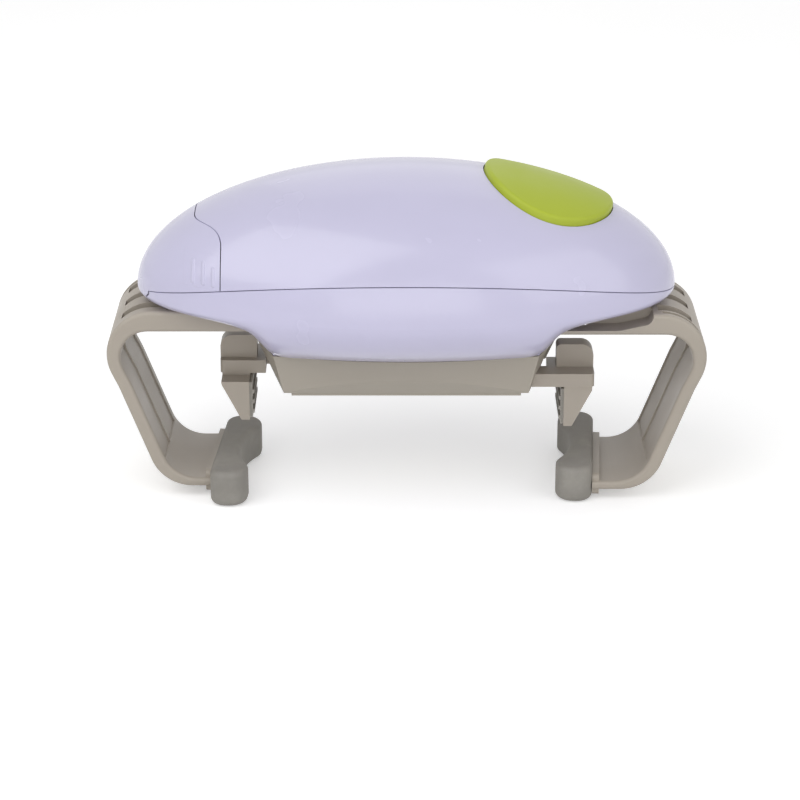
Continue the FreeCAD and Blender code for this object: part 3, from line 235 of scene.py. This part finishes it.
def mix(tree, share, under, over):
    """Lay a plain colour over a colour socket, by a share socket."""
    node = tree.nodes.new("ShaderNodeMix")
    node.data_type = "RGBA"
    tree.links.new(share, node.inputs["Factor"])
    tree.links.new(under, node.inputs[COLOUR_A])
    node.inputs[COLOUR_B].default_value = (*over, 1)
    return node.outputs[COLOUR_RESULT]


print("a lighter grey:", shade((0.5, 0.5, 0.5), 1.2))

# %% [markdown]
# ## Edges and grain
# Moulded plastic gets a light rub along its edges. A Bevel node rounds the normal there, so the lean
# between the rounded and the real normal is a mask for edges. A Bump turns fine noise into the grain
# that the mould leaves.
# %% Edges and grain
BEVEL_SAMPLES = 4


def edge_mask(tree, width, lean):
    """1 along edges and 0 on open faces, from how far a rounded normal leans."""
    rounded = tree.nodes.new("ShaderNodeBevel")
    rounded.samples = BEVEL_SAMPLES
    rounded.inputs["Radius"].default_value = width
    flat = tree.nodes.new("ShaderNodeNewGeometry")
    dot = tree.nodes.new("ShaderNodeVectorMath")
    dot.operation = "DOT_PRODUCT"
    tree.links.new(rounded.outputs[0], dot.inputs[0])
    tree.links.new(flat.outputs["Normal"], dot.inputs[1])
    turned = tree.nodes.new("ShaderNodeMath")
    turned.operation = "SUBTRACT"
    turned.inputs[0].default_value = 1.0
    tree.links.new(dot.outputs["Value"], turned.inputs[1])
    return spread(tree, turned.outputs[0], lean, (0.0, 1.0))


def bump(tree, source, depth):
    """Bump from a height source, depth in metres."""
    node = tree.nodes.new("ShaderNodeBump")
    node.inputs["Distance"].default_value = depth
    tree.links.new(source, node.inputs["Height"])
    return node.outputs[0]


print("bevel samples:", BEVEL_SAMPLES)

# %% [markdown]
# ## Moulded plastic
# Three finishes cover most of the object: glossy ABS on the shells, satin ABS on the button, and a
# finely grained satin on the arms. They differ in roughness, in how strong the grain is and in how
# much the edges are rubbed, which the shells aren't at all. So one recipe with named values makes
# all three, and the hidden plastics too.
# %% The plastic recipe
FLOW_CELLS, FLOW_STRETCH = 14, (1, 1, 2.2)
FLOW_TONES = [(0.3, 0.965), (0.7, 1.035)]
RUB_WIDTH, RUB_LEAN = 0.0007, (0.06, 0.20)
RUB_CELLS, RUB_BAND, RUB_SHADE = 260, (0.42, 0.62), 1.35
SMEAR_CELLS, SMEAR_BAND, SMEAR_SHARES = 38, (0.35, 0.7), (0.85, 1.2)
PLASTIC_IOR = 1.5
COAT_ROUGHNESS = 0.07


def moulded(name, colour, gloss, grain_cells, grain_depth, rub, coat=0.0, shine=0.5):
    """Injection-moulded plastic: faint flow variation, fine grain and lighter rubbed edges."""
    material, tree, shader = new_material(name)
    tone = tones(tree, noise(tree, FLOW_CELLS, 4, FLOW_STRETCH), colour, FLOW_TONES)
    if rub:
        patches = spread(tree, noise(tree, RUB_CELLS, 2), RUB_BAND, (0.0, rub))
        worn = tree.nodes.new("ShaderNodeMath")
        worn.operation = "MULTIPLY"
        tree.links.new(edge_mask(tree, RUB_WIDTH, RUB_LEAN), worn.inputs[0])
        tree.links.new(patches, worn.inputs[1])
        tone = mix(tree, worn.outputs[0], tone, shade(colour, RUB_SHADE))
    tree.links.new(tone, shader.inputs["Base Color"])
    smear = spread(tree, noise(tree, SMEAR_CELLS, 3), SMEAR_BAND, [gloss * s for s in SMEAR_SHARES])
    tree.links.new(smear, shader.inputs["Roughness"])
    tree.links.new(bump(tree, noise(tree, grain_cells, 2), grain_depth), shader.inputs["Normal"])
    shader.inputs["IOR"].default_value = PLASTIC_IOR
    shader.inputs["Coat Weight"].default_value = coat
    shader.inputs["Coat Roughness"].default_value = COAT_ROUGHNESS
    shader.inputs["Specular IOR Level"].default_value = shine
    return material


print("flow tones:", FLOW_TONES)

# %% [markdown]
# ## The plastics
# Each row is one finish: its colour, roughness, cells of grain per metre, depth of grain in metres
# and share of rub. The shells add a thin clear coat, which gives their sharper shine. The button
# shines less than bare ABS, because its mould was matt.
# %% Plastics
LAVENDER = (0.550, 0.532, 0.705)
GREEN = (0.40, 0.475, 0.040)
TAUPE = (0.395, 0.352, 0.298)
GREY = (0.385, 0.350, 0.295)
ACETAL = (0.80, 0.79, 0.74)
BLACK = (0.028, 0.028, 0.031)
BOARD = (0.03, 0.16, 0.06)
CELL = (0.035, 0.04, 0.05)
finishes = {
    "lavender": moulded("glossy_lavender", LAVENDER, 0.24, 900, 0.000006, 0.0, coat=0.30),
    "green": moulded("satin_green", GREEN, 0.44, 2600, 0.000010, 0.3, shine=0.3),
    "taupe": moulded("satin_taupe", TAUPE, 0.45, 3200, 0.000022, 0.45),
    "taupe_inner": moulded("satin_grey", GREY, 0.47, 3200, 0.000022, 0.35),
    "nylon_white": moulded("acetal_white", ACETAL, 0.4, 1800, 0.000008, 0.1),
    "black_plastic": moulded("plain_black_plastic", BLACK, 0.42, 2400, 0.000015, 0.5),
    "board": moulded("green_board", BOARD, 0.3, 1500, 0.000006, 0.2),
    "cell": moulded("plain_cell_sleeve", CELL, 0.3, 800, 0.00001, 0.2),
}
print("plastics:", len(finishes))

# %% [markdown]
# ## Rubber
# The pads are a soft grey elastomer: dull, slightly dusty, with a coarser moulded texture than the
# arms. One large noise sets both the dust's colour and its roughness, so that they fall together.
# %% Rubber
RUBBER = (0.300, 0.285, 0.256)
DUST_CELLS, DUST_GRIT = 55, 0.65
DUST_TONES = [(0.35, 0.82), (0.62, 1.05), (0.8, 1.4)]
DUST_BAND, DUST_ROUGHNESS = (0.3, 0.7), (0.58, 0.82)
RUBBER_EDGE, RUBBER_LEAN, RUBBER_EDGE_SHADE = 0.0008, (0.002, 0.06), 1.3
RUBBER_CELLS, RUBBER_GRIT, RUBBER_DEPTH = 1500, 0.7, 0.00005


def rubber(name, colour):
    """Dull moulded rubber with patches of dust."""
    material, tree, shader = new_material(name)
    dust = noise(tree, DUST_CELLS, 5, rough=DUST_GRIT)
    edges = edge_mask(tree, RUBBER_EDGE, RUBBER_LEAN)
    worn = mix(tree, edges, tones(tree, dust, colour, DUST_TONES), shade(colour, RUBBER_EDGE_SHADE))
    tree.links.new(worn, shader.inputs["Base Color"])
    tree.links.new(spread(tree, dust, DUST_BAND, DUST_ROUGHNESS), shader.inputs["Roughness"])
    grain = noise(tree, RUBBER_CELLS, 4, rough=RUBBER_GRIT)
    tree.links.new(bump(tree, grain, RUBBER_DEPTH), shader.inputs["Normal"])
    return material


finishes["pad_grey"] = rubber("pad_rubber", RUBBER)
print("rubber:", finishes["pad_grey"].name)

# %% [markdown]
# ## Metal
# Screws, spindle and motor are small and mostly hidden, but they get a real finish too: a brushed
# grain along one direction, a little colour drift, and roughness that follows the brushing. Plated
# and sintered metal has no direction, so its grain isn't drawn out.
# %% Metals
BRUSH_CELLS, BRUSH_DEPTH = 900, 0.00001
BRUSH_BAND, BRUSH_SHARES = (0.3, 0.7), (0.7, 1.4)
DRIFT_CELLS = 60
DRIFT_TONES = [(0.3, 0.85), (0.7, 1.08)]
BRUSHED, EVEN = (1, 1, 12), (1, 1, 1)


def metal(name, colour, roughness, stretch):
    """Brushed, turned or plated metal, the grain drawn out by stretch."""
    material, tree, shader = new_material(name)
    lines = noise(tree, BRUSH_CELLS, 3, stretch)
    tone = tones(tree, noise(tree, DRIFT_CELLS, 3), colour, DRIFT_TONES)
    tree.links.new(tone, shader.inputs["Base Color"])
    brushed = spread(tree, lines, BRUSH_BAND, [roughness * share for share in BRUSH_SHARES])
    tree.links.new(brushed, shader.inputs["Roughness"])
    tree.links.new(bump(tree, lines, BRUSH_DEPTH), shader.inputs["Normal"])
    shader.inputs["Metallic"].default_value = 1.0
    return material


finishes["steel"] = metal("turned_steel", (0.56, 0.56, 0.57), 0.25, BRUSHED)
finishes["zinc"] = metal("zinc_plate", (0.62, 0.62, 0.64), 0.34, EVEN)
finishes["bronze"] = metal("sintered_bronze", (0.48, 0.33, 0.15), 0.42, EVEN)
finishes["brass"] = metal("cut_brass", (0.66, 0.50, 0.22), 0.25, BRUSHED)
print("finishes:", sorted(finishes))

# %% [markdown]
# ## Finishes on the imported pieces
# The record names a material slot for each node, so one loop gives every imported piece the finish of
# its slot. Only the slot changes; the mesh stays as it was packed.
# %% Assign by slot
slot_of = {row["node"]: row["material_slot"] for row in frame["record"]["subparts"]}
for name, piece in nodes.items():
    piece.data.materials.clear()
    piece.data.materials.append(finishes[slot_of[name]])
print("assigned", len(slot_of))

# %% [markdown]
# ## Grip ribs
# The thumb pushes the battery cover off at three low ribs on each flank. The flank is part of an
# ellipsoid, so a fine grid can be laid on it exactly: each point takes its depth from the ellipsoid
# plus the height of the nearest rib. A rib is an upright capsule with soft shoulders. Its row gives
# where it stands along the housing and how long it is, in millimetres.
# %% The ribs' height
RIB_LOW = 77.4
RIBS = [(-60.5, 4.5), (-63.8, 5.6), (-67.2, 5.8)]
RIB_HEIGHT, RIB_CROWN, RIB_FOOT = 0.42, 0.2, 0.75


def rib_height(x, z):
    """Height of the nearest rib over the skin, in millimetres."""
    nearest = RIB_FOOT
    for at, length in RIBS:
        nearest = min(nearest, math.hypot(x - at, z - min(max(z, RIB_LOW), RIB_LOW + length)))
    share = min((RIB_FOOT - nearest) / (RIB_FOOT - RIB_CROWN), 1.0)
    return RIB_HEIGHT * share * share * (3 - 2 * share)


print("rib crown:", rib_height(RIBS[0][0], RIB_LOW), "mm")

# %% [markdown]
# ## The panel they stand on
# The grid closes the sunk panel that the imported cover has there. It lies a hair over the skin, and
# its hem dips under it, where a sharp edge keeps the shading of the open face flat. The hem ends
# inside the cover's wall, so the open rim of the sheet can't be seen.
# %% Grip panels
HALF_LENGTH, HALF_WIDTH, DOME_RISE = 87.0, 47.0, 39.5
TIP_LEVEL = 68.0
PANEL_LEFT, PANEL_RIGHT = -70.3, -59.0
PANEL_LOW, PANEL_HIGH = 75.9, 85.8
PANEL_STEP = 0.12
SKIN_LIFT, HEM_DEPTH = 0.02, 0.3
HEM_ANGLE = math.radians(40)


def grip_panel(name, flank):
    """The three ribs and the skin round them, on the flank towards -Y or +Y."""
    mesh = bmesh.new()
    width, height = PANEL_RIGHT - PANEL_LEFT, PANEL_HIGH - PANEL_LOW
    columns, rows = round(width / PANEL_STEP), round(height / PANEL_STEP)
    bmesh.ops.create_grid(mesh, x_segments=columns, y_segments=rows, size=0.5)
    for vertex in mesh.verts:
        x = PANEL_LEFT + width * (vertex.co.x + 0.5)
        z = PANEL_LOW + height * (vertex.co.y + 0.5)
        spare = 1 - (x / HALF_LENGTH) ** 2 - ((z - TIP_LEVEL) / DOME_RISE) ** 2
        depth = HALF_WIDTH * math.sqrt(spare)
        depth += -HEM_DEPTH if vertex.is_boundary else SKIN_LIFT + rib_height(x, z)
        vertex.co = MM * Vector((x, flank * depth, z))
    if flank > 0:
        bmesh.ops.reverse_faces(mesh, faces=mesh.faces[:])
    for face in mesh.faces:
        face.smooth = True
    for edge in mesh.edges:
        edge.smooth = edge.calc_face_angle(0.0) < HEM_ANGLE
    data = bpy.data.meshes.new(name)
    mesh.to_mesh(data)
    mesh.free()
    piece = bpy.data.objects.new(name, data)
    scene.collection.objects.link(piece)
    data.materials.append(finishes[slot_of["battery_cover"]])
    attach(piece, "battery_cover")
    return piece


for name, flank in (("cover_grip_front", -1), ("cover_grip_back", 1)):
    print(name, len(grip_panel(name, flank).data.polygons), "faces")

spring = bpy.data.objects.new("return_spring", nodes["button_spring"].data.copy())
scene.collection.objects.link(spring)
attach(spring, "housing")
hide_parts("button_spring")
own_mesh(spring)

# %% [markdown]
# ## Floor
# A plain pale floor, level with the undersides of the jar pads. It is matt and nearly white. To the
# eye and to reflections it also gives off a little white of its own, which lifts the lit paper to
# the white of the world behind while the object's shadow still shows on it.
# %% Floor
FLOOR_REACH, FLOOR_DROP = 6.0, 0.0002
PAPER_CELLS, PAPER_ROUGHNESS, PAPER_GLOW = 3, 0.9, 0.37
PAPER_TONES = [(0.3, (0.86, 0.86, 0.86)), (0.7, (0.9, 0.9, 0.9))]

mesh = bmesh.new()
bmesh.ops.create_grid(mesh, x_segments=1, y_segments=1, size=FLOOR_REACH)
floor_data = bpy.data.meshes.new("studio_floor")
mesh.to_mesh(floor_data)
mesh.free()
floor = bpy.data.objects.new("studio_floor", floor_data)
floor.location.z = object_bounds()[0][2] - FLOOR_DROP
scene.collection.objects.link(floor)
paper, tree, shader = new_material("pale_paper")
paper_colour = ramp(tree, noise(tree, PAPER_CELLS, 2), PAPER_TONES)
tree.links.new(paper_colour, shader.inputs["Base Color"])
shader.inputs["Roughness"].default_value = PAPER_ROUGHNESS
shader.inputs["Emission Color"].default_value = WHITE
tree.links.new(seen_strength(tree, 0.0, PAPER_GLOW), shader.inputs["Emission Strength"])
floor.data.materials.append(paper)
print("floor at", round(floor.location.z / MM, 2), "mm")
